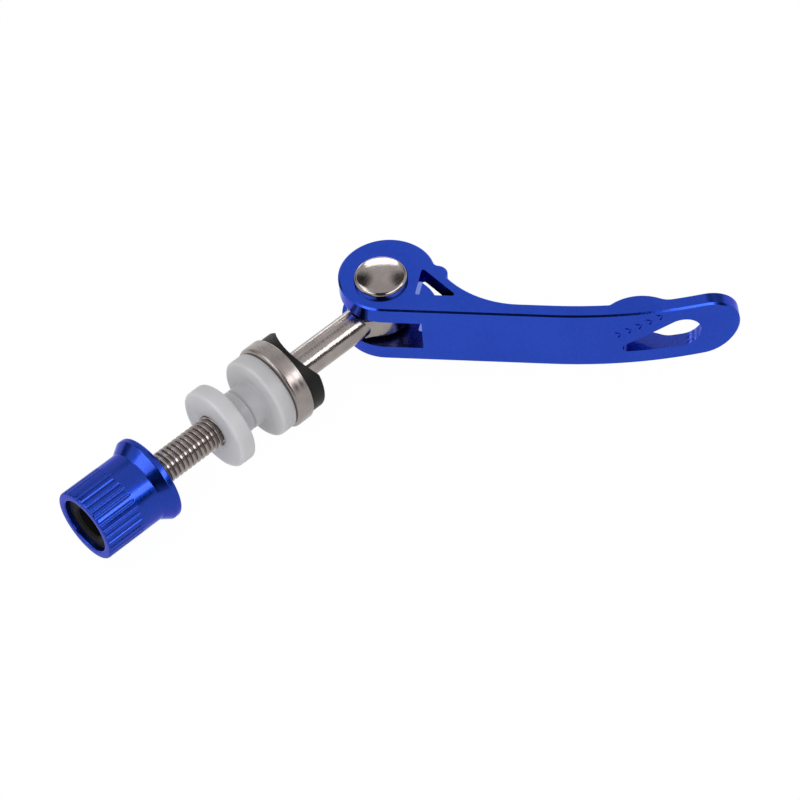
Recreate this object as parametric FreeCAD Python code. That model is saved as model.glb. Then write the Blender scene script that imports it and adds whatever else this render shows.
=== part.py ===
import FreeCAD, Part
import math
import os

from FreeCAD import Vector

# Quick release seatpost clamp: a cam lever on an eye bolt, with the loose stack that the bolt draws together.
# Millimetres. +X runs along the bolt towards the lever, +Z along the lever's pivot pin.
# The origin lies on the bolt axis, where the two bushings meet between the ears of a split seat collar.

# Eye bolt
thread_diameter = 5.85
bolt_length = 64.0
thread_end_chamfer = 0.8
eye_radius = 5.4
eye_thickness = 5.0
eye_edge_round = 0.7
eye_set_back = 0.9
eye_root_from_pin = 6.6
eye_root_half_width = 2.4
pin_from_origin = 34.5

# Pivot pin, a rivet with a shallow dome at each end
pin_diameter = 6.0
pin_head_radius = 4.85
pin_head_side = 1.1
pin_dome = 0.7
pin_running_gap = 0.05

# Lever: u runs from the pin along the blade, v towards the blade's back
lever_width = 13.0
lever_rest_angle = -49.7
head_radius = 8.74
head_offset_u = 0.84
head_offset_v = 1.30
blade_thickness = 2.8
bend_start = 31.0
bend_radius = 90.0
tip_reach = 64.2
tip_wall_lean = 9.0
bump_at = 46.4
bump_radius = 8.3
bump_height = 1.75
bump_near_blend = 0.8
bump_far_blend = 3.5
sweep_start = 25.0
sweep_radius = 18.2
nub_u = 9.7
nub_v = 2.0
nub_radius = 2.05
nub_blend = 0.4
nub_head_blend = 1.1
slot_width = 6.5
slot_radius = 10.8
lever_edge_chamfer = 0.3

# Three-cornered window through the cheeks, as distances from the pin along u and v
window_heel_u = 6.45
window_top_u = 7.05
window_top_v = 3.1
window_toe_u = 14.05
window_floor_v = -3.4
window_corner = 0.4

# Teardrop hole through the blade: a large and a small circle and the lines that touch both
teardrop_at = 53.8
teardrop_radius = 3.4
teardrop_lift = 0.1
teardrop_length = 9.4
teardrop_end_radius = 1.0
teardrop_end_drop = 2.3

# Nylon bushings, one for each ear of the collar
bushing_radius = 7.75
bushing_flange = 3.3
bushing_rim_round = 0.6
neck_radius = 4.0
neck_length = 3.2
neck_root_round = 0.6
neck_end_chamfer = 0.3
bolt_slip_gap = 0.25

# Steel cup washer
cup_radius = 8.235
cup_height = 3.45
cup_floor = 1.2
cup_edge_round = 0.4
cup_rim_chamfer = 0.15

# Plastic cam saddle, turned a little on the bolt as it lies loose
saddle_radius = 7.75
saddle_above_cup = 3.2
saddle_groove_depth = 2.2
saddle_cam_gap = 0.16
saddle_horn_round = 0.35
saddle_seat_gap = 0.05
saddle_turn = 12.7

# Thumb nut
nut_from_bushing = 14.1
nut_length = 15.1
nut_body_radius = 6.8
nut_rim_radius = 8.1
nut_rim_width = 1.2
nut_rim_round = 0.4
nut_cone_length = 2.0
nut_end_chamfer = 0.3
thread_running_gap = 0.05
flute_count = 34
flute_length = 7.9
flute_radius = 0.34
flute_depth = 0.2

# Nylon locking ring in the nut's open end
insert_radius = 5.15
insert_thickness = 3.0
insert_recess = 1.0
insert_seat_gap = 0.05
insert_mouth_chamfer = 0.4

# Places along the bolt that follow from the sizes above
thread_radius = thread_diameter / 2
bolt_end = pin_from_origin - bolt_length
bushing_reach = neck_length + bushing_flange
slip_radius = thread_radius + bolt_slip_gap
cup_start = bushing_reach
cup_seat = cup_start + cup_floor
cup_rim = cup_start + cup_height
cup_inner_radius = saddle_radius + saddle_seat_gap
saddle_top = cup_rim + saddle_above_cup
nut_face = -(bushing_reach + nut_from_bushing)
nut_end = nut_face - nut_length
insert_face = nut_end + insert_recess
insert_seat = insert_face + insert_thickness

X_AXIS = Vector(1, 0, 0)
Z_AXIS = Vector(0, 0, 1)
ORIGIN = Vector(0, 0, 0)


def turned(profile):
    """Solid of revolution about the bolt axis from a closed list of (x, radius) corners."""
    corners = [Vector(x, r, 0) for x, r in profile]
    wire = Part.makePolygon(corners + corners[:1])
    return Part.Face(wire).revolve(ORIGIN, X_AXIS, 360)


def rod(radius, x_from, x_to):
    """Cylinder on the bolt axis."""
    return Part.makeCylinder(radius, x_to - x_from, Vector(x_from, 0, 0), X_AXIS)


def ring_edges(shape, *places):
    """Circular edges about the bolt axis at the given (x, radius) places."""
    found = []
    for edge in shape.Edges:
        curve = edge.Curve
        if not isinstance(curve, Part.Circle) or abs(abs(curve.Axis.x) - 1) > 1e-6:
            continue
        for x, r in places:
            if abs(curve.Center.x - x) < 1e-4 and abs(curve.Radius - r) < 1e-4:
                found.append(edge)
    return found


def arc(centre, radius, start, end):
    """Arc in the XY plane from one angle to another, in radians."""
    points = []
    for angle in (start, (start + end) / 2, end):
        points.append(centre + Vector(radius * math.cos(angle), radius * math.sin(angle), 0))
    return Part.Arc(*points).toShape()


def line(start, end):
    """Straight edge."""
    return Part.LineSegment(start, end).toShape()


def heading(centre, point):
    """Angle from a centre to a point in the XY plane."""
    return math.atan2(point.y - centre.y, point.x - centre.x)


def circles_meet(centre, radius, other, other_radius, side):
    """Point where two circles cross, on the left (+1) or right (-1) of the line between their centres."""
    apart = other - centre
    along = (apart.Length ** 2 + radius ** 2 - other_radius ** 2) / (2 * apart.Length)
    across = math.sqrt(radius ** 2 - along ** 2)
    forward = apart / apart.Length
    left = Vector(-forward.y, forward.x, 0)
    return centre + forward * along + left * (side * across)


def upright_edges(shape, points):
    """Edges parallel to the pin that stand over the given points."""
    found = []
    for edge in shape.Edges:
        ends = [vertex.Point for vertex in edge.Vertexes]
        if len(ends) < 2 or (ends[0] - ends[1]).cross(Z_AXIS).Length > 1e-6:
            continue
        if any(math.hypot(ends[0].x - p.x, ends[0].y - p.y) < 1e-3 for p in points):
            found.append(edge)
    return found


class BladeCurve:
    """The blade's front line and the gentle bend that both its faces follow."""

    def __init__(self):
        self.front = head_offset_v - head_radius
        self.centre = Vector(bend_start, self.front + bend_radius, 0)

    def turn_at(self, u):
        """Slope of the blade at a distance u from the pin, in radians."""
        return math.asin((u - bend_start) / bend_radius)

    def point(self, turn, depth):
        """Point of the bend at a slope, at a depth behind the front face."""
        radius = bend_radius - depth
        return self.centre + Vector(radius * math.sin(turn), -radius * math.cos(turn), 0)

    def run(self, depth, start, end):
        """Arc of the bend at a depth behind the front face."""
        quarter = math.pi / 2
        return arc(self.centre, bend_radius - depth, start - quarter, end - quarter)

    def cutter_frame(self, u):
        """Placement on the front face at u, with X along the lever, Y up the pin and Z out of the front face."""
        square = FreeCAD.Rotation(X_AXIS, Z_AXIS, Vector(0, -1, 0), "XYZ")
        return FreeCAD.Placement(self.point(self.turn_at(u), 0), square)


def lever_outline(blade):
    """Side outline of the lever: cam head, nub, sweep, blade and thumb bump. Also its inner corners."""
    head_centre = Vector(head_offset_u, head_offset_v, 0)
    nub_centre = Vector(nub_u, nub_v, 0)
    back = blade.front + blade_thickness
    sweep_centre = Vector(sweep_start, back + sweep_radius, 0)
    head_foot = head_centre + Vector(0, -head_radius, 0)
    notch = circles_meet(sweep_centre, sweep_radius, nub_centre, nub_radius, 1)
    crotch = circles_meet(nub_centre, nub_radius, head_centre, head_radius, -1)
    past_tip = blade.turn_at(tip_reach + blade_thickness)
    bump_turn = blade.turn_at(bump_at)
    back_radius = bend_radius - blade_thickness
    bump_from_bend = back_radius + bump_radius - bump_height
    bump_centre = blade.point(bump_turn, bend_radius - bump_from_bend)
    half_bump = math.acos((bump_from_bend ** 2 + back_radius ** 2 - bump_radius ** 2)
                          / (2 * bump_from_bend * back_radius))
    bump_far = blade.point(bump_turn + half_bump, blade_thickness)
    bump_near = blade.point(bump_turn - half_bump, blade_thickness)
    edges = [
        line(head_foot, Vector(bend_start, blade.front, 0)),
        blade.run(0, 0, past_tip),
        line(blade.point(past_tip, 0), blade.point(past_tip, blade_thickness)),
        blade.run(blade_thickness, past_tip, bump_turn + half_bump),
        arc(bump_centre, bump_radius, heading(bump_centre, bump_far), heading(bump_centre, bump_near)),
        blade.run(blade_thickness, bump_turn - half_bump, 0),
        line(Vector(bend_start, back, 0), Vector(sweep_start, back, 0)),
        arc(sweep_centre, sweep_radius, -math.pi / 2, heading(sweep_centre, notch)),
        arc(nub_centre, nub_radius, heading(nub_centre, notch), heading(nub_centre, crotch)),
        arc(head_centre, head_radius, heading(head_centre, crotch), 1.5 * math.pi),
    ]
    return Part.Wire(Part.__sortEdges__(edges)), [bump_far, bump_near], [notch, crotch]


def tip_plan(blade):
    """Plan of the lever with its rounded tip, as a solid to keep the blade inside."""
    half = lever_width / 2
    far = 3 * tip_reach
    low_start = Vector(-far, -half, 0)
    low_end = Vector(0, -half, 0)
    high_end = Vector(0, half, 0)
    high_start = Vector(-far, half, 0)
    outline = Part.Wire([
        line(low_start, low_end),
        arc(ORIGIN, half, -math.pi / 2, math.pi / 2),
        line(high_end, high_start),
        line(high_start, low_start),
    ])
    plan = Part.Face(outline).extrude(Vector(0, 0, 2 * far))
    plan.translate(Vector(0, 0, -far))
    plan.rotate(ORIGIN, Vector(0, 1, 0), tip_wall_lean)
    plan.Placement = blade.cutter_frame(tip_reach - half).multiply(plan.Placement)
    return plan


def window_cutter():
    """Three-cornered window with rounded corners, right through the lever's width."""
    corners = [
        Vector(window_top_u, window_top_v, -lever_width),
        Vector(window_heel_u, window_floor_v, -lever_width),
        Vector(window_toe_u, window_floor_v, -lever_width),
    ]
    wire = Part.makePolygon(corners + corners[:1])
    cutter = Part.Face(wire).extrude(Vector(0, 0, 2 * lever_width))
    return cutter.makeFillet(window_corner, upright_edges(cutter, corners))


def teardrop_cutter(blade):
    """Teardrop hole square to the front line, its straight edges touching both end circles."""
    large = Vector(0, teardrop_lift, 0)
    small = Vector(-teardrop_length, teardrop_lift - teardrop_end_drop, 0)
    spread = math.asin((teardrop_radius - teardrop_end_radius) / (large - small).Length)
    slope = heading(small, large)
    upper = slope + math.pi / 2 + spread
    lower = slope - math.pi / 2 - spread

    def on_circle(centre, radius, angle):
        return centre + Vector(radius * math.cos(angle), radius * math.sin(angle), 0)

    outline = Part.Wire([
        arc(large, teardrop_radius, lower, upper),
        line(on_circle(large, teardrop_radius, upper), on_circle(small, teardrop_end_radius, upper)),
        arc(small, teardrop_end_radius, upper, lower + 2 * math.pi),
        line(on_circle(small, teardrop_end_radius, lower), on_circle(large, teardrop_radius, lower)),
    ])
    depth = tip_reach
    cutter = Part.Face(outline).extrude(Vector(0, 0, 2 * depth))
    cutter.translate(Vector(0, 0, -depth))
    cutter.Placement = blade.cutter_frame(teardrop_at).multiply(cutter.Placement)
    return cutter


def make_lever():
    """Forked cam lever, in its own place at the pin."""
    blade = BladeCurve()
    half = lever_width / 2
    outline, bump_corners, nub_corners = lever_outline(blade)
    solid = Part.Face(outline).extrude(Vector(0, 0, lever_width))
    solid.translate(Vector(0, 0, -half))
    solid = solid.makeFillet(bump_far_blend, upright_edges(solid, bump_corners[:1]))
    solid = solid.makeFillet(bump_near_blend, upright_edges(solid, bump_corners[1:]))
    solid = solid.makeFillet(nub_blend, upright_edges(solid, nub_corners[:1]))
    solid = solid.makeFillet(nub_head_blend, upright_edges(solid, nub_corners[1:]))
    solid = solid.common(tip_plan(blade)).removeSplitter()
    side_rims = [edge for edge in solid.Edges if abs(edge.BoundBox.ZLength) < 1e-6]
    tip_rims = [edge for edge in solid.Edges if isinstance(edge.Curve, Part.BSplineCurve)]
    solid = solid.makeChamfer(lever_edge_chamfer, side_rims + tip_rims)
    slot = Part.makeCylinder(slot_radius, slot_width, Vector(0, 0, -slot_width / 2), Z_AXIS)
    pin_hole = Part.makeCylinder(pin_diameter / 2, 2 * lever_width, Vector(0, 0, -lever_width), Z_AXIS)
    for cutter in (slot, window_cutter(), teardrop_cutter(blade), pin_hole):
        solid = solid.cut(cutter)
    solid.rotate(ORIGIN, Z_AXIS, lever_rest_angle)
    solid.translate(Vector(pin_from_origin, 0, 0))
    return solid


def make_pivot_pin():
    """Riveted pin: a plain shaft with a domed head on each cheek."""
    half = lever_width / 2
    rim = half + pin_head_side
    dome_radius = (pin_head_radius ** 2 + pin_dome ** 2) / (2 * pin_dome)
    shaft = Part.makeCylinder(pin_diameter / 2, lever_width, Vector(0, 0, -half), Z_AXIS)
    pin = shaft
    for side in (1, -1):
        head = Part.makeCylinder(pin_head_radius, pin_head_side + pin_dome, Vector(0, 0, half), Z_AXIS)
        ball = Part.makeSphere(dome_radius, Vector(0, 0, rim + pin_dome - dome_radius))
        head = head.common(ball)
        if side < 0:
            head = head.mirror(ORIGIN, Z_AXIS)
        pin = pin.fuse(head)
    pin.translate(Vector(pin_from_origin, 0, 0))
    return pin.removeSplitter()


def eye_plan():
    """Plan of the eye: a circle set back a little from the pin, and flanks that spread to it from the shank."""
    centre = Vector(pin_from_origin - eye_set_back, 0, 0)
    upper = Vector(pin_from_origin - eye_root_from_pin, eye_root_half_width, 0)
    lower = Vector(upper.x, -upper.y, 0)
    spread = math.acos(eye_radius / (upper - centre).Length)
    touch = heading(centre, upper) - spread
    upper_touch = centre + Vector(eye_radius * math.cos(touch), eye_radius * math.sin(touch), 0)
    lower_touch = Vector(upper_touch.x, -upper_touch.y, 0)
    return Part.Wire([
        line(lower, lower_touch),
        arc(centre, eye_radius, -touch, touch),
        line(upper_touch, upper),
        line(upper, lower),
    ])


def make_eye_bolt():
    """Bolt with a plain shank, a threaded end and a flat forged eye round the pin."""
    half = eye_thickness / 2
    eye = Part.Face(eye_plan()).extrude(Vector(0, 0, eye_thickness))
    eye.translate(Vector(0, 0, -half))
    root = pin_from_origin - eye_root_from_pin
    rims = []
    for edge in eye.Edges:
        if abs(edge.BoundBox.ZLength) < 1e-6 and edge.BoundBox.XMax > root + 1e-6:
            rims.append(edge)
    eye = eye.makeFillet(eye_edge_round, rims)
    shank_end = pin_from_origin - pin_diameter / 2
    shank = turned([
        (bolt_end, 0),
        (bolt_end, thread_radius - thread_end_chamfer),
        (bolt_end + thread_end_chamfer, thread_radius),
        (shank_end, thread_radius),
        (shank_end, 0),
    ])
    eye_hole = Part.makeCylinder(pin_diameter / 2 + pin_running_gap, 2 * eye_thickness,
                                 Vector(pin_from_origin, 0, -eye_thickness), Z_AXIS)
    return eye.fuse(shank).cut(eye_hole).removeSplitter()


def make_bushing(side):
    """Flanged bushing whose neck ends at the origin; side is +1 towards the lever, -1 towards the nut."""
    flange_face = side * neck_length
    outer_face = side * bushing_reach
    solid = turned([
        (0, slip_radius),
        (0, neck_radius - neck_end_chamfer),
        (side * neck_end_chamfer, neck_radius),
        (flange_face, neck_radius),
        (flange_face, bushing_radius),
        (outer_face, bushing_radius),
        (outer_face, slip_radius),
    ])
    rims = ring_edges(solid, (flange_face, bushing_radius), (outer_face, bushing_radius))
    solid = solid.makeFillet(bushing_rim_round, rims)
    return solid.makeFillet(neck_root_round, ring_edges(solid, (flange_face, neck_radius)))


def make_cup_washer():
    """Steel cup that the saddle sits in."""
    solid = turned([
        (cup_start, slip_radius),
        (cup_start, cup_radius),
        (cup_rim - cup_rim_chamfer, cup_radius),
        (cup_rim, cup_radius - cup_rim_chamfer),
        (cup_rim, cup_inner_radius),
        (cup_seat, cup_inner_radius),
        (cup_seat, slip_radius),
    ])
    return solid.makeFillet(cup_edge_round, ring_edges(solid, (cup_start, cup_radius)))


def make_cam_saddle():
    """Puck with a groove for the cam head, its two horns rounded."""
    solid = rod(saddle_radius, cup_seat, saddle_top)
    groove_radius = head_radius + saddle_cam_gap
    groove_centre = Vector(saddle_top - saddle_groove_depth + groove_radius, 0, -2 * saddle_radius)
    groove = Part.makeCylinder(groove_radius, 4 * saddle_radius, groove_centre, Z_AXIS)
    solid = solid.cut(groove)
    horn_tops = []
    for edge in solid.Edges:
        if abs(edge.BoundBox.XMin - saddle_top) < 1e-4 and abs(edge.BoundBox.XLength) < 1e-4:
            horn_tops.append(edge)
    solid = solid.makeFillet(saddle_horn_round, horn_tops)
    solid = solid.cut(rod(slip_radius, cup_seat - cup_floor, saddle_top + cup_floor))
    solid.rotate(ORIGIN, X_AXIS, saddle_turn)
    return solid


def make_thumb_nut():
    """Flared nut with straight flutes for the fingers and a seat for the locking ring."""
    cone_start = nut_face - nut_rim_width
    cone_end = cone_start - nut_cone_length
    bore = thread_radius + thread_running_gap
    seat_radius = insert_radius + insert_seat_gap
    solid = turned([
        (nut_face, bore),
        (nut_face, nut_rim_radius),
        (cone_start, nut_rim_radius),
        (cone_end, nut_body_radius),
        (nut_end + nut_end_chamfer, nut_body_radius),
        (nut_end, nut_body_radius - nut_end_chamfer),
        (nut_end, seat_radius),
        (insert_seat, seat_radius),
        (insert_seat, bore),
    ])
    rims = ring_edges(solid, (nut_face, nut_rim_radius), (cone_start, nut_rim_radius))
    solid = solid.makeFillet(nut_rim_round, rims)
    axis_radius = nut_body_radius + flute_radius - flute_depth
    flute_end = nut_end + flute_length - flute_radius
    start = Vector(nut_end - flute_radius, axis_radius, 0)
    flute = Part.makeCylinder(flute_radius, flute_end - start.x, start, X_AXIS)
    flute = flute.fuse(Part.makeSphere(flute_radius, Vector(flute_end, axis_radius, 0))).removeSplitter()
    flutes = []
    for number in range(flute_count):
        cutter = flute.copy()
        cutter.rotate(ORIGIN, X_AXIS, 360 * number / flute_count)
        flutes.append(cutter)
    return solid.cut(Part.makeCompound(flutes))


def make_nut_insert():
    """Locking ring recessed in the nut's open end."""
    bore = thread_radius + thread_running_gap
    return turned([
        (insert_face, bore + insert_mouth_chamfer),
        (insert_face, insert_radius),
        (insert_seat, insert_radius),
        (insert_seat, bore),
        (insert_face + insert_mouth_chamfer, bore),
    ])


pieces = {
    "lever": make_lever(),
    "pivot_pin": make_pivot_pin(),
    "eye_bolt": make_eye_bolt(),
    "cam_saddle": make_cam_saddle(),
    "cup_washer": make_cup_washer(),
    "lever_side_bushing": make_bushing(1),
    "nut_side_bushing": make_bushing(-1),
    "thumb_nut": make_thumb_nut(),
    "nut_insert": make_nut_insert(),
}

os.makedirs("parts", exist_ok=True)
for name, shape in pieces.items():
    shape.exportStep("parts/" + name + ".step")
    box = shape.BoundBox
    print(name, "valid", shape.isValid(), "solids", len(shape.Solids), "volume", round(shape.Volume, 1),
          "x", round(box.XMin, 2), round(box.XMax, 2), "y", round(box.YMin, 2), round(box.YMax, 2),
          "z", round(box.ZMin, 2), round(box.ZMax, 2))
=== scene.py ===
import math

import bmesh
import bpy
from mathutils import Matrix, Vector


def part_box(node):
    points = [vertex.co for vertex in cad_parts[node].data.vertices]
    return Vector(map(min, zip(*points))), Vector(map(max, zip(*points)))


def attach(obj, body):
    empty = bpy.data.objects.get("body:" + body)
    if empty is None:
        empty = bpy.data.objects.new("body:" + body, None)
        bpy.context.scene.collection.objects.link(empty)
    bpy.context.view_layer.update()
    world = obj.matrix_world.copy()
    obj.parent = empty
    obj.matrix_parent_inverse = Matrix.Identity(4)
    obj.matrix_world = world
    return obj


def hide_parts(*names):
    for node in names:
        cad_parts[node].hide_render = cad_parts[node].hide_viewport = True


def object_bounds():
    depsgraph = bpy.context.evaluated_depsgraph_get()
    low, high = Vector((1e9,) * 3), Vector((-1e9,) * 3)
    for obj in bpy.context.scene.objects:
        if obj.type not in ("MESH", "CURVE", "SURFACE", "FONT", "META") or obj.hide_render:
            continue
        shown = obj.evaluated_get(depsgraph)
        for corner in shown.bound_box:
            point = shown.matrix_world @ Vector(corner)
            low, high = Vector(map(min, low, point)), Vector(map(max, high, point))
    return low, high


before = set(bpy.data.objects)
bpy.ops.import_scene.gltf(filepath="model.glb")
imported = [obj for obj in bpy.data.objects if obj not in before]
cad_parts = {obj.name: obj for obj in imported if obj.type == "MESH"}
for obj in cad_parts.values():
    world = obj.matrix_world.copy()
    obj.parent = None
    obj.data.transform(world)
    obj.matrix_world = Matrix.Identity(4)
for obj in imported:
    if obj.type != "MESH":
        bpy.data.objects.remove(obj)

cad_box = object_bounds()

# Sizes in millimetres, in the part's own frame
MM = 0.001

# Camera, found from the photograph's 800 by 800 frame
camera_place = Vector((-191.5, -280.9, 391.5))
camera_target = Vector((27.0, -11.1, -11.4))
camera_roll = math.radians(-5.9)
camera_lens = 132.9

# Lever: u runs from the pin along the blade, v towards its back
lever_rest_angle = math.radians(-49.7)
lever_front = -7.44
bend_start = 31.0
bend_radius = 90.0

# Where the walls of the blade's hole are, and the front of the head's slot where shade is painted
hole_middle = 50.0
hole_reach = 8.0
hole_half = 4.5
slot_radius = 10.82
slot_half = 3.27
slot_fade = (-1.0, 1.0)

# Row of engraved arrowheads in the blade's front face
mark_count = 5
mark_first = (42.7, 1.5)
mark_last = (50.0, 5.1)
mark_height = 1.5
mark_width = 1.05
mark_stroke = 0.4
mark_depth = 0.2

# Bolt thread
thread_radius = 2.925
thread_pitch = 1.0
thread_depth = 0.42
thread_crest = 0.36
thread_start = 4.0
thread_runout = 1.5
thread_rows_per_pitch = 16
thread_segments = 72
bolt_end_chamfer = 0.8

# Thumb nut: flute_rings are rings of its mesh along the straight flutes, counted back from the runout
nut_body_radius = 6.8
nut_rim_radius = 8.1
nut_rim_width = 1.2
nut_cone_length = 2.0
nut_bore_radius = 2.975
nut_seat_radius = 5.2
nut_bore_round = 0.2
nut_rim_round = 0.4
nut_body_round = 0.35
nut_seat_round = 0.3
flute_count = 34
flute_length = 7.9
flute_end_gap = 0.2
flute_rings = (2.0, 4.5)
flute_radius = 0.34
flute_depth = 0.2
flute_runout = 1.1
flute_runout_rows = 14
flute_segments = 18

# Cup washer
cup_floor = 1.2
cup_edge_round = 0.75
cup_rim_round = 0.2
cup_lip_round = 0.1
cup_inner_round = 0.2
cup_bore_round = 0.15
cup_bore_radius = 3.175
cup_inner_radius = 7.8
cup_segments = 160

# Rivet heads of the pivot pin
pin_shaft_radius = 3.0
pin_head_radius = 4.85
pin_head_side = 1.1
pin_dome = 0.7
pin_dome_steps = 5
pin_rim_round = 0.85
pin_segments = 128

# Steps in a rounded corner, and the distance within which points are one
corner_steps = 5
weld_distance = 0.001

# Studio, in metres: a white floor, even light that is stronger from the nut's side, a room for the metal
floor_half = 3.0
floor_below = 0.0002
floor_white = 1.02
floor_share = 0.96
room_light = 0.55
room_slant = 0.35
room_white = 0.96

# Dark gaps of that room, as (direction, outer and inner angle, brightness kept)
room_gaps = [
    ((-0.55, -0.49, 0.68), 36, 22, 0.06),
    ((0.42, -0.82, 0.34), 18, 9, 0.10),
    ((-0.60, -0.79, 0.12), 28, 14, 0.20),
    ((0.02, 0.69, 0.72), 20, 9, 0.06),
    ((0.36, 0.84, 0.40), 30, 12, 0.85),
    ((0.62, 0.13, 0.77), 18, 8, 0.12),
    ((0.90, 0.20, 0.37), 18, 4, 0.35),
    ((-0.20, 0.97, 0.12), 22, 8, 0.15),
]

# Spots that the small lamps face: height of the rivet's top, and place of the shank along the bolt
rivet_height = 8.0
shank_along = 21.0


class Wire:
    """A socket in a node tree. Arithmetic on it adds Math nodes."""

    def __init__(self, tree, socket=None):
        self.tree = tree
        self.socket = socket

    def node(self, kind, settings=None, inputs=None, out=0):
        """Adds a node: its settings first, then the values or wires of its sockets."""
        made = self.tree.nodes.new(kind)
        for name, value in (settings or {}).items():
            setattr(made, name, value)
        for name, value in (inputs or {}).items():
            if isinstance(value, Wire):
                self.tree.links.new(value.socket, made.inputs[name])
            else:
                made.inputs[name].default_value = value
        return Wire(self.tree, made.outputs[out] if made.outputs else None)

    def __getitem__(self, name):
        """Another output of the same node."""
        return Wire(self.tree, self.socket.node.outputs[name])

    def math(self, operation, *values):
        """Math node on this wire and further values."""
        return self.node("ShaderNodeMath", {"operation": operation}, dict(enumerate((self, *values))))

    def __add__(self, other):
        return self.math("ADD", other)

    def __sub__(self, other):
        return self.math("SUBTRACT", other)

    def __mul__(self, other):
        return self.math("MULTIPLY", other)

    def __truediv__(self, other):
        return self.math("DIVIDE", other)

    def __rsub__(self, other):
        return self.node("ShaderNodeMath", {"operation": "SUBTRACT"}, {0: other, 1: self})

    def ramp(self, low, high, to_low=0.0, to_high=1.0):
        """Smooth change from one value to another between two limits."""
        limits = {0: self, 1: low, 2: high, 3: to_low, 4: to_high}
        return self.node("ShaderNodeMapRange", {"interpolation_type": "SMOOTHSTEP"}, limits)

    def colours(self, first, second):
        """Mix of two colours, or colour wires, by this wire."""
        blend = {"data_type": "RGBA"}
        return self.node("ShaderNodeMix", blend, {0: self, 6: first, 7: second}, 2)


def opaque(red, green, blue, shade=1.0):
    """Colour with full alpha, from linear values and a share of their brightness."""
    return (red * shade, green * shade, blue * shade, 1.0)


def from_axis(first, second):
    """Distance from an axis, from the places in the two directions across it."""
    return (first * first + second * second).math("SQRT")


def new_material(name):
    """Empty node material and a wire to start its tree."""
    material = bpy.data.materials.new(name)
    material.use_nodes = True
    material.node_tree.nodes.clear()
    return material, Wire(material.node_tree)


def surface(start, inputs):
    """Principled surface with the given sockets."""
    shader = start.node("ShaderNodeBsdfPrincipled", None, inputs)
    start.node("ShaderNodeOutputMaterial", None, {"Surface": shader})


def noise_at(start, place, scale, detail, stretch=(1.0, 1.0, 1.0)):
    """Noise on object coordinates, in cycles per metre."""
    spread = {"Vector": place, "Scale": stretch}
    stretched = start.node("ShaderNodeMapping", {"vector_type": "POINT"}, spread)
    pattern = {"Vector": stretched, "Scale": scale, "Detail": detail}
    return start.node("ShaderNodeTexNoise", None, pattern)


def bump(start, height, depth):
    """Normal from a height, counted in steps of a depth in metres."""
    return start.node("ShaderNodeBump", None, {"Distance": depth, "Height": height})


def cut_walls(start, place):
    """Masks of the wall of the blade's hole, and of the front of the head's slot, where the slot's shade
    is painted.
    """
    turned_back = {"Vector": place, "Location": to_lever(0, 0, 0), "Scale": (MM, MM, MM)}
    turned_back["Rotation"] = (0, 0, lever_rest_angle)
    own_place = start.node("ShaderNodeMapping", {"vector_type": "TEXTURE"}, turned_back)
    split = start.node("ShaderNodeSeparateXYZ", None, {0: own_place})
    height = split["Z"].math("ABSOLUTE")
    reach = from_axis(split["X"], split["Y"])
    # Front of the head's slot, where shade is painted
    slot = reach.math("LESS_THAN", slot_radius) * height.math("LESS_THAN", slot_half)
    slot = slot * (1.0 - split["Y"].ramp(*slot_fade))
    along = (split["X"] - hole_middle).math("ABSOLUTE")
    near = along.math("LESS_THAN", hole_reach) * height.math("LESS_THAN", hole_half)
    bend = math.asin((hole_middle - bend_start) / bend_radius)
    through = Matrix.Rotation(lever_rest_angle + bend, 3, "Z") @ Vector((0, 1, 0))
    facing = {0: place["Normal"], 1: through}
    facing = start.node("ShaderNodeVectorMath", {"operation": "DOT_PRODUCT"}, facing, "Value")
    hole = near * (1.0 - facing.math("ABSOLUTE").ramp(0.1, 0.2))
    return hole, slot


def anodised_blue(name, dye, roughness, grain_depth, with_walls=False):
    """Blue anodised aluminium: a dye-coloured skin over a fine grain, a few specks, duller walls of the
    blade's hole, and painted shade in the front of the head's slot.
    """
    material, start = new_material(name)
    place = start.node("ShaderNodeTexCoord", None, None, "Object")
    cloud = noise_at(start, place, 70.0, 3.0)
    grain = noise_at(start, place, 4200.0, 2.0)
    fleck = noise_at(start, place, 1500.0, 4.0)
    specks = noise_at(start, place, 2300.0, 0.0).ramp(0.78, 0.82)
    deep = opaque(0.002, 0.039, 0.415, dye)
    light = opaque(0.005, 0.049, 0.465, dye)
    dye_and_slot_shade = (cloud * 0.6 + fleck * 0.4).ramp(0.35, 0.65).colours(deep, light)
    rough = fleck.ramp(0.3, 0.7, roughness - 0.04, roughness + 0.04)
    height = grain
    if with_walls:
        hole, slot = cut_walls(start, place)
        dye_and_slot_shade = (hole * 0.5).colours(dye_and_slot_shade, opaque(0.022, 0.036, 0.30))
        # Painted shade: the front of the head's slot darker and greyer, where the eye shades it
        dye_and_slot_shade = (slot * 0.8).colours(dye_and_slot_shade, opaque(0.06, 0.068, 0.27))
        rough = rough + (hole + slot) * 0.15
        height = height + hole * fleck * 10.0
    surface(start, {
        "Base Color": (specks * 0.3).colours(dye_and_slot_shade, opaque(0.008, 0.018, 0.16)),
        "Metallic": 1.0,
        "Roughness": rough,
        "Specular Tint": opaque(0.25, 0.4, 0.95),
        "Coat Weight": 0.4,
        "Coat Roughness": 0.12,
        "Normal": bump(start, height, grain_depth),
    })
    return material


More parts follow.
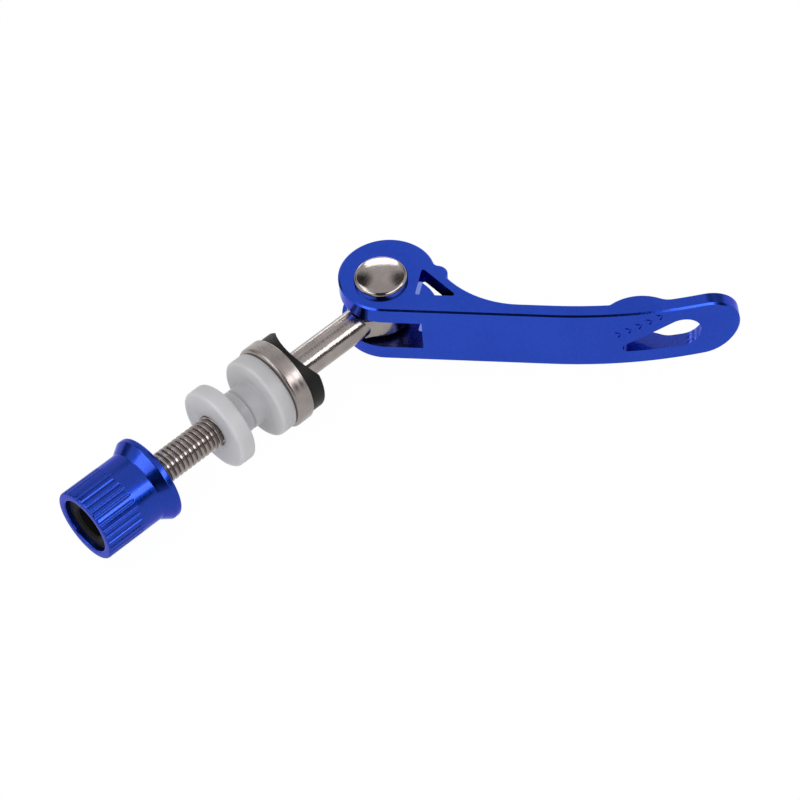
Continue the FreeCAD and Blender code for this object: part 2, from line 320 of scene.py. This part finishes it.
def plated_steel(name, stretch, roughness, darker_valleys_to=None):
    """Nickel plated steel with marks and pits. A bolt is a little browner in its thread, darker and less
    metallic in the thread's valleys, and has grain on its shank.
    """
    material, start = new_material(name)
    place = start.node("ShaderNodeTexCoord", None, None, "Object")
    marks = noise_at(start, place, 2600.0, 3.0, stretch)
    cloud = noise_at(start, place, 260.0, 4.0)
    pits = noise_at(start, place, 1300.0, 1.0).ramp(0.74, 0.78)
    bright = opaque(0.318, 0.284, 0.271)
    dull = opaque(0.255, 0.222, 0.212)
    stain = opaque(0.09, 0.075, 0.065)
    colour = cloud.ramp(0.35, 0.7).colours(bright, dull)
    colour = (pits * 0.6).colours(colour, stain)
    rough = marks.ramp(0.3, 0.7, roughness - 0.05, roughness + 0.07)
    height = marks + cloud * 0.5
    metallic_share = 1.0
    if darker_valleys_to:
        split = start.node("ShaderNodeSeparateXYZ", None, {0: place})
        radius = from_axis(split["Y"], split["Z"])
        valley = 1.0 - radius.ramp((thread_radius - thread_depth) * MM, darker_valleys_to * MM)
        threaded = 1.0 - split["X"].ramp((thread_start - thread_runout) * MM, thread_start * MM)
        valley = valley * threaded
        # Thread's valleys darker, browner and less metallic, and the whole thread a little browner
        colour = (valley * 0.45 + threaded * 0.1).colours(colour, opaque(0.19, 0.155, 0.135))
        rough = rough + valley * 0.15
        metallic_share = 1.0 - valley * 0.4
        grain = noise_at(start, place, 4600.0, 1.0, (1.0, 0.4, 0.4))
        height = height + (1.0 - threaded) * grain * 3.0
    surface(start, {
        "Base Color": colour,
        "Metallic": metallic_share,
        "Roughness": rough,
        "Normal": bump(start, height, 0.000007),
    })
    return material


def natural_nylon(name, shade):
    """White nylon that lets a little light in, at a share of brightness that paints a lit and a shaded
    copy.
    """
    material, start = new_material(name)
    place = start.node("ShaderNodeTexCoord", None, None, "Object")
    cloud = noise_at(start, place, 180.0, 3.0)
    skin = noise_at(start, place, 2400.0, 2.0)
    dull = opaque(0.645, 0.64, 0.66, shade)
    bright = opaque(0.69, 0.685, 0.705, shade)
    surface(start, {
        "Base Color": cloud.ramp(0.3, 0.7).colours(dull, bright),
        "Roughness": skin.ramp(0.3, 0.7, 0.40, 0.52),
        "Subsurface Weight": 0.7,
        "Subsurface Radius": (1.0, 0.95, 0.9),
        "Subsurface Scale": 0.004,
        "Normal": bump(start, skin, 0.000005),
    })
    return material


def black_moulding(name, colour, roughness, gloss):
    """Black moulded plastic with a fine grain."""
    material, start = new_material(name)
    place = start.node("ShaderNodeTexCoord", None, None, "Object")
    cloud = noise_at(start, place, 240.0, 3.0)
    grain = noise_at(start, place, 3600.0, 3.0)
    paler = opaque(*colour, 1.5)
    surface(start, {
        "Base Color": cloud.ramp(0.35, 0.7).colours(opaque(*colour), paler),
        "Roughness": grain.ramp(0.3, 0.7, roughness - 0.08, roughness + 0.08),
        "Specular IOR Level": gloss,
        "Normal": bump(start, grain, 0.00001),
    })
    return material


def to_lever(u, v, z):
    """Point in the lever's own directions, as a place in the part's frame in metres."""
    pin_low, pin_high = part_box("pivot_pin")
    turned_place = Matrix.Rotation(lever_rest_angle, 3, "Z") @ Vector((u, v, z))
    return (pin_low + pin_high) / 2 + turned_place * MM


def new_piece(mesh, name):
    """Object for a mesh, in the scene."""
    piece = bpy.data.objects.new(name, mesh)
    bpy.context.scene.collection.objects.link(piece)
    return piece


def settle(bm, name, material):
    """Piece from a closed mesh, smooth up to an angle and sharp past it."""
    bmesh.ops.recalc_face_normals(bm, faces=bm.faces)
    mesh = bpy.data.meshes.new(name)
    bm.to_mesh(mesh)
    bm.free()
    mesh.shade_smooth()
    mesh.set_sharp_from_angle(angle=math.radians(40))
    mesh.materials.append(material)
    return new_piece(mesh, name)


def baked(piece):
    """Plain piece with the result of its modifiers as its mesh."""
    graph = bpy.context.evaluated_depsgraph_get()
    mesh = bpy.data.meshes.new_from_object(piece.evaluated_get(graph), depsgraph=graph)
    piece.modifiers.clear()
    piece.data = mesh
    return piece


def evened(piece, smooth_to):
    """Smooth shading up to an angle, with flat faces kept even."""
    piece.data.shade_smooth()
    piece.data.set_sharp_from_angle(angle=smooth_to)
    even = piece.modifiers.new("even_faces", "WEIGHTED_NORMAL")
    even.keep_sharp = True
    return baked(piece)


def merged_copy(node):
    """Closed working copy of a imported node's mesh."""
    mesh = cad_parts[node].data.copy()
    for stale in ("custom_normal", "sharp_edge", "sharp_face"):
        if stale in mesh.attributes:
            mesh.attributes.remove(mesh.attributes[stale])
    mesh.materials.clear()
    bm = bmesh.new()
    bm.from_mesh(mesh)
    bmesh.ops.remove_doubles(bm, verts=bm.verts, dist=weld_distance * MM)
    return bm


def rounded(profile):
    """Closed (along, radius, round) profile with its corners as arcs."""
    places = []
    count = len(profile)
    for number, (along, radius, corner) in enumerate(profile):
        here = Vector((along, radius))
        if not corner:
            places.append(here)
            continue
        before = (Vector(profile[number - 1][:2]) - here).normalized()
        after = (Vector(profile[(number + 1) % count][:2]) - here).normalized()
        half = before.angle(after) / 2
        middle = here + (before + after).normalized() * (corner / math.sin(half))
        start = here + before * (corner / math.tan(half)) - middle
        end = here + after * (corner / math.tan(half)) - middle
        turn = start.angle_signed(end)
        for step in range(corner_steps + 1):
            swing = Matrix.Rotation(-turn * step / corner_steps, 2)
            places.append(middle + swing @ start)
    return places


def turned(places, segments):
    """Mesh turned about the X axis from a closed list of (along, radius) places."""
    bm = bmesh.new()
    rings = []
    for along, radius in places:
        ring = []
        for step in range(segments):
            angle = 2 * math.pi * step / segments
            spot = Vector((along, radius * math.cos(angle), radius * math.sin(angle)))
            ring.append(bm.verts.new(spot * MM))
        rings.append(ring)
    for ring, after in zip(rings, rings[1:] + rings[:1]):
        for step in range(segments):
            near = (step + 1) % segments
            bm.faces.new((ring[step], ring[near], after[near], after[step]))
    bmesh.ops.remove_doubles(bm, verts=bm.verts, dist=weld_distance * MM)
    return bm


def cut_tree(name, sizes):
    """Geometry tree with a mesh and named sizes going in, and the wires to its inputs."""
    tree = bpy.data.node_groups.new(name, "GeometryNodeTree")
    tree.interface.new_socket("Geometry", in_out="OUTPUT", socket_type="NodeSocketGeometry")
    tree.interface.new_socket("Geometry", in_out="INPUT", socket_type="NodeSocketGeometry")
    for size in sizes:
        tree.interface.new_socket(size, in_out="INPUT", socket_type="NodeSocketFloat")
    tree.interface.new_socket("Material", in_out="INPUT", socket_type="NodeSocketMaterial")
    start = Wire(tree)
    return tree, start, start.node("NodeGroupInput")


def round_the_axis(start):
    """Distance along the X axis, distance from it and turn about it, for every point."""
    split = start.node("ShaderNodeSeparateXYZ", None, {0: start.node("GeometryNodeInputPosition")})
    radius = from_axis(split["Y"], split["Z"])
    return split, radius, split["Z"].math("ARCTAN2", split["Y"])


def close_tree(start, group, split, radius, limit):
    """Draws each point in to a limit on its distance from the axis, and ends the tree."""
    share = radius.math("MINIMUM", limit) / radius.math("MAXIMUM", weld_distance * MM)
    place = {"X": split["X"], "Y": split["Y"] * share, "Z": split["Z"] * share}
    place = start.node("ShaderNodeCombineXYZ", None, place)
    cut = start.node("GeometryNodeSetPosition", None, {"Geometry": group, "Position": place})
    real = start.node("GeometryNodeRealizeInstances", None, {"Geometry": cut})
    finish = {"Geometry": real, "Material": group["Material"]}
    finish = start.node("GeometryNodeSetMaterial", None, finish)
    start.node("NodeGroupOutput", None, {0: finish})


def flute_tree():
    """Straight flutes that run out softly, round a turned body."""
    sizes = ("Body Radius", "Count", "Flute Radius", "Depth", "Runout Start", "Runout")
    tree, start, group = cut_tree("straight_flutes", sizes)
    split, radius, angle = round_the_axis(start)
    turn = angle * group["Count"] / (2 * math.pi) + 0.5
    across = (turn.math("FRACT") - 0.5) * group["Body Radius"] * (2 * math.pi) / group["Count"]
    past = (split["X"] - group["Runout Start"]).math("MAXIMUM", 0.0)
    past = past * group["Flute Radius"] / group["Runout"]
    room = group["Flute Radius"] * group["Flute Radius"] - across * across - past * past
    depth = room.math("MAXIMUM", 0.0).math("SQRT") - (group["Flute Radius"] - group["Depth"])
    limit = group["Body Radius"] - depth.math("MAXIMUM", 0.0)
    beyond = (past - group["Flute Radius"]).math("GREATER_THAN", 0.0)
    close_tree(start, group, split, radius, limit + beyond)
    return tree


def thread_tree():
    """Right-hand screw thread with a runout, cut into a turned shaft."""
    sizes = ("Radius", "Pitch", "Depth", "Start", "Runout")
    tree, start, group = cut_tree("screw_thread", sizes)
    split, radius, angle = round_the_axis(start)
    phase = (split["X"] / group["Pitch"] - angle / (2 * math.pi)).math("FRACT")
    slope = ((phase - 0.5).math("ABSOLUTE") * 2.0).ramp(thread_crest, 1.0)
    runout = 1.0 - split["X"].ramp(group["Start"] - group["Runout"], group["Start"])
    limit = group["Radius"] - group["Depth"] * slope * runout
    close_tree(start, group, split, radius, limit)
    return tree


def worked(piece, tree, sizes, material):
    """Runs a geometry tree on a piece, with its sizes set by socket, and keeps the result."""
    modifier = piece.modifiers.new(tree.name, "NODES")
    modifier.node_group = tree
    for item in tree.interface.items_tree:
        if item.in_out == "INPUT" and item.name in sizes:
            modifier[item.identifier] = sizes[item.name]
        elif item.in_out == "INPUT" and item.name == "Material":
            modifier[item.identifier] = material
    return baked(piece)


def engraving():
    """Arrowheads in a slanting row, as a solid to cut from the blade's front face."""
    bm = bmesh.new()
    first = Vector(mark_first)
    last = Vector(mark_last)
    slant = math.atan2(last.y - first.y, last.x - first.x)
    half = mark_height / 2
    reach = mark_width / 2
    outline = [
        (-reach, half), (-reach + mark_stroke, half), (reach, 0),
        (-reach + mark_stroke, -half), (-reach, -half), (reach - mark_stroke, 0),
    ]
    for number in range(mark_count):
        u, z = first.lerp(last, number / (mark_count - 1))
        turn = math.asin((u - bend_start) / bend_radius)
        face = lever_front + bend_radius * (1 - math.cos(turn))
        rows = []
        for depth in (mark_depth, -mark_height):
            row = []
            for along, up in outline:
                run = along * math.cos(slant) - up * math.sin(slant)
                rise = along * math.sin(slant) + up * math.cos(slant)
                spot_u = u + run * math.cos(turn) - depth * math.sin(turn)
                spot_v = face + run * math.sin(turn) + depth * math.cos(turn)
                row.append(bm.verts.new(to_lever(spot_u, spot_v, z + rise)))
            rows.append(row)
        inner, outer = rows
        bm.faces.new(inner)
        bm.faces.new(outer)
        for step in range(len(outline)):
            near = (step + 1) % len(outline)
            bm.faces.new((inner[step], inner[near], outer[near], outer[step]))
    return bm


def make_lever(blue):
    """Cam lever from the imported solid, with its engraved arrowheads."""
    piece = settle(merged_copy("lever"), "cam_lever", blue)
    cutter = settle(engraving(), "arrowheads", blue)
    cut = piece.modifiers.new("engraving", "BOOLEAN")
    cut.operation = "DIFFERENCE"
    cut.solver = "EXACT"
    cut.object = cutter
    baked(piece)
    bpy.data.objects.remove(cutter)
    evened(piece, smooth_to=math.radians(35))
    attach(piece, "lever")
    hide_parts("lever")


def make_pivot_pin(steel):
    """Rivet with a domed head at each end, stood up along the pin's axis."""
    low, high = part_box("pivot_pin")
    top = (high.z - low.z) / 2 / MM
    rim = top - pin_dome
    cheek = rim - pin_head_side
    dome_radius = (pin_head_radius ** 2 + pin_dome ** 2) / (2 * pin_dome)
    head = [(cheek, pin_shaft_radius), (cheek, pin_head_radius)]
    edge = math.asin(pin_head_radius / dome_radius)
    for step in range(pin_dome_steps + 1):
        angle = edge * (1 - step / pin_dome_steps)
        place = (top - dome_radius * (1 - math.cos(angle)), dome_radius * math.sin(angle))
        head.append(place)
    corners = [(along, radius, 0) for along, radius in head]
    corners[2] = (*head[2], pin_rim_round)
    mirrored = [(-along, radius, corner) for along, radius, corner in reversed(corners)]
    bm = turned(rounded(mirrored + corners), pin_segments)
    upright = Matrix.Rotation(-math.pi / 2, 4, "Y")
    place = Matrix.Translation((low + high) / 2) @ upright
    bmesh.ops.transform(bm, matrix=place, verts=bm.verts)
    piece = settle(bm, "rivet", steel)
    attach(piece, "lever")
    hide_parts("pivot_pin")


def make_eye_bolt(steel):
    """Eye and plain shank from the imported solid, and a shaft with a real thread."""
    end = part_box("eye_bolt")[0].x / MM
    shank = merged_copy("eye_bolt")
    everything = shank.verts[:] + shank.edges[:] + shank.faces[:]
    cut = Vector((thread_start * MM, 0, 0))
    bmesh.ops.bisect_plane(shank, geom=everything, plane_co=cut, plane_no=(1, 0, 0), clear_inner=True)
    rim = [edge for edge in shank.edges if edge.is_boundary]
    bmesh.ops.holes_fill(shank, edges=rim)
    piece = evened(settle(shank, "eye_bolt_shank", steel), smooth_to=math.radians(30))
    rows = round((thread_start - end - bolt_end_chamfer) / thread_pitch * thread_rows_per_pitch)
    places = [Vector((end, 0)), Vector((end, thread_radius - bolt_end_chamfer))]
    for row in range(rows + 1):
        along = end + bolt_end_chamfer + (thread_start - end - bolt_end_chamfer) * row / rows
        places.append(Vector((along, thread_radius)))
    places.append(Vector((thread_start, 0)))
    shaft = settle(turned(places, thread_segments), "eye_bolt_thread", steel)
    sizes = {"Radius": thread_radius, "Depth": thread_depth, "Pitch": thread_pitch}
    sizes |= {"Start": thread_start, "Runout": thread_runout}
    worked(shaft, thread_tree(), {name: size * MM for name, size in sizes.items()}, steel)
    shaft.data.shade_smooth()
    shaft.data.set_sharp_from_angle(angle=math.radians(70))
    for part in (piece, shaft):
        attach(part, "bolt")
    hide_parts("eye_bolt")


def make_thumb_nut(blue):
    """Flared nut with its flutes cut by a geometry tree."""
    low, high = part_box("thumb_nut")
    face = high.x / MM
    end = low.x / MM
    flute_end = end + flute_length
    runout_start = flute_end - flute_runout
    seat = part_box("nut_insert")[1].x / MM
    cone = face - nut_rim_width
    corners = [
        (face, nut_bore_radius, nut_bore_round),
        (face, nut_rim_radius, nut_rim_round),
        (cone, nut_rim_radius, nut_rim_round),
        (cone - nut_cone_length, nut_body_radius, nut_body_round),
        (flute_end + flute_end_gap, nut_body_radius, 0),
    ]
    for row in range(flute_runout_rows + 1):
        along = flute_end - flute_runout * row / flute_runout_rows
        corners.append((along, nut_body_radius, 0))
    for back in flute_rings:
        corners.append((runout_start - back, nut_body_radius, 0))
    corners += [
        (end, nut_body_radius, nut_body_round),
        (end, nut_seat_radius, nut_seat_round),
        (seat, nut_seat_radius, 0),
        (seat, nut_bore_radius, 0),
    ]
    piece = settle(turned(rounded(corners), flute_count * flute_segments), "fluted_nut", blue)
    sizes = {"Body Radius": nut_body_radius, "Flute Radius": flute_radius}
    sizes |= {"Depth": flute_depth, "Runout Start": runout_start, "Runout": flute_runout}
    sizes = {name: size * MM for name, size in sizes.items()}
    sizes["Count"] = float(flute_count)
    evened(worked(piece, flute_tree(), sizes, blue), smooth_to=math.radians(50))
    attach(piece, "nut")
    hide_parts("thumb_nut")


def make_cup_washer(steel):
    """Pressed cup with a rolled corner and a thin rim."""
    low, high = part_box("cup_washer")
    start = low.x / MM
    rim = high.x / MM
    outside = (high.z - low.z) / 2 / MM
    corners = [
        (start, cup_bore_radius, cup_bore_round),
        (start, outside, cup_edge_round),
        (rim, outside, cup_rim_round),
        (rim, cup_inner_radius, cup_lip_round),
        (start + cup_floor, cup_inner_radius, cup_inner_round),
        (start + cup_floor, cup_bore_radius, cup_bore_round),
    ]
    piece = settle(turned(rounded(corners), cup_segments), "pressed_cup", steel)
    evened(piece, smooth_to=math.radians(40))
    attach(piece, "cup")
    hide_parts("cup_washer")


def finish_node(node, material):
    """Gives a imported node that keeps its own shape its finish."""
    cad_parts[node].material_slots[0].material = material


def make_floor():
    """Pale floor that looks white to the camera and in the metal, and keeps a faint shadow."""
    material, start = new_material("pale_floor")
    ray = start.node("ShaderNodeLightPath", None, None, "Is Camera Ray")
    seen = ray.math("MAXIMUM", ray["Is Glossy Ray"]).math("MAXIMUM", ray["Is Transmission Ray"])
    matt = start.node("ShaderNodeBsdfDiffuse", None, {"Color": opaque(0.9, 0.9, 0.9)})
    white = start.node("ShaderNodeEmission", None, {"Color": opaque(1, 1, 1), "Strength": floor_white})
    mixed = start.node("ShaderNodeMixShader", None, {0: seen * floor_share, 1: matt, 2: white})
    start.node("ShaderNodeOutputMaterial", None, {"Surface": mixed})
    bm = bmesh.new()
    bmesh.ops.create_grid(bm, x_segments=1, y_segments=1, size=floor_half)
    bmesh.ops.translate(bm, verts=bm.verts, vec=Vector((0, 0, cad_box[0].z - floor_below)))
    settle(bm, "floor", material)


def make_world():
    """Studio round the part: white to the camera, even light, and a room with dark gaps for the metal."""
    world = bpy.data.worlds.new("studio")
    bpy.context.scene.world = world
    world.use_nodes = True
    world.node_tree.nodes.clear()
    start = Wire(world.node_tree)
    way = start.node("ShaderNodeTexCoord", None, None, "Generated")

    def towards(direction, edge, core):
        """Mask of the room within an angle of a direction, soft from edge to core."""
        facing = {0: way, 1: Vector(direction).normalized()}
        near = start.node("ShaderNodeVectorMath", {"operation": "DOT_PRODUCT"}, facing, "Value")
        return near.ramp(math.cos(math.radians(edge)), math.cos(math.radians(core)))

    split = start.node("ShaderNodeSeparateXYZ", None, {0: way})
    level = room_white
    for direction, edge, core, kept in room_gaps:
        level = (1.0 - towards(direction, edge, core) * (1.0 - kept)) * level
    ray = start.node("ShaderNodeLightPath", None, None, "Is Camera Ray")
    glossy = ray["Is Glossy Ray"]
    even = (1.0 - split["X"] * room_slant) * room_light
    strength = glossy * level + (1.0 - glossy) * even
    room = start.node("ShaderNodeBackground", None, {"Color": opaque(1, 1, 1), "Strength": strength})
    white = start.node("ShaderNodeBackground", None, {"Color": opaque(1, 1, 1), "Strength": 1.0})
    mixed = start.node("ShaderNodeMixShader", None, {0: ray, 1: room, 2: white})
    start.node("ShaderNodeOutputWorld", None, {"Surface": mixed})


def soft_box(name, shows, focus, direction, distance, width, height, brightness):
    """Area lamp that faces a spot and shows in the metal or on the matt pieces, as bright as given."""
    lamp = bpy.data.lights.new(name, "AREA")
    lamp.shape = "RECTANGLE"
    lamp.size = width
    lamp.size_y = height
    lamp.energy = brightness * math.pi * width * height
    holder = bpy.data.objects.new(name, lamp)
    bpy.context.scene.collection.objects.link(holder)
    away = Vector(direction).normalized()
    holder.location = focus + away * distance
    holder.rotation_mode = "QUATERNION"
    holder.rotation_quaternion = away.to_track_quat("Z", "Y")
    holder.visible_camera = False
    holder.visible_diffuse = shows == "matt"
    holder.visible_glossy = shows == "metal"


def make_camera():
    """Camera at the photograph's angle."""
    data = bpy.data.cameras.new("camera")
    data.lens = camera_lens
    data.sensor_width = 36.0
    data.clip_start = 0.01
    data.clip_end = 20.0
    camera = bpy.data.objects.new("camera", data)
    bpy.context.scene.collection.objects.link(camera)
    view = (camera_target - camera_place).to_track_quat("-Z", "Y").to_matrix().to_4x4()
    rolled = view @ Matrix.Rotation(camera_roll, 4, "Z")
    camera.matrix_world = Matrix.Translation(camera_place * MM) @ rolled
    bpy.context.scene.camera = camera


lever_blue = anodised_blue("lever_blue", dye=0.98, roughness=0.14, grain_depth=0.000007, with_walls=True)
nut_blue = anodised_blue("nut_blue", dye=0.79, roughness=0.23, grain_depth=0.000016)
drawn_steel = plated_steel("drawn_steel", stretch=(0.25, 1.0, 1.0), roughness=0.15, darker_valleys_to=2.80)
turned_steel = plated_steel("turned_steel", stretch=(1.0, 0.08, 0.08), roughness=0.28)
rivet_steel = plated_steel("rivet_steel", stretch=(1.0, 1.0, 1.0), roughness=0.12)
saddle_black = black_moulding("saddle_black", colour=(0.011, 0.0105, 0.011), roughness=0.45, gloss=0.12)
insert_black = black_moulding("insert_black", colour=(0.005, 0.005, 0.005), roughness=0.6, gloss=0.1)

make_lever(lever_blue)
make_pivot_pin(rivet_steel)
make_eye_bolt(drawn_steel)
make_thumb_nut(nut_blue)
make_cup_washer(turned_steel)
# Painted light and shade: the lever side's nylon painted darker, the nut side's painted lighter, as light
# falls on the two flanges
finish_node("lever_side_bushing", natural_nylon("lever_side_nylon_painted_shade", shade=0.95))
finish_node("nut_side_bushing", natural_nylon("nut_side_nylon_painted_light", shade=1.05))
finish_node("cam_saddle", saddle_black)
finish_node("nut_insert", insert_black)

make_floor()
make_world()
middle = (cad_box[0] + cad_box[1]) / 2
rivet_top = to_lever(0, 0, rivet_height)
shank_middle = Vector((shank_along * MM, 0, 0))

# Lamps: name, where they show, the spot they face, direction, distance, width, height, brightness
lamps = [
    ("key_light", "metal", middle, (0.237, -0.729, 0.643), 0.6, 0.84, 0.20, 4.0),
    ("left_light", "metal", middle, (-0.70, 0.13, 0.68), 0.6, 0.46, 0.20, 3.0),
    ("upper_light", "metal", rivet_top, (-0.30, 0.52, 0.80), 0.5, 0.22, 0.20, 2.2),
    ("back_light", "metal", rivet_top, (0.60, 0.68, 0.41), 0.12, 0.06, 0.034, 3.6),
    ("rim_light", "metal", shank_middle, (0.41, 0.905, 0.10), 0.12, 0.018, 0.03, 2.6),
    ("fill_light", "matt", middle, (-0.72, -0.42, 0.55), 0.6, 0.5, 0.5, 1.15),
]
for lamp in lamps:
    soft_box(*lamp)
make_camera()
bpy.context.scene.view_settings.view_transform = "Standard"
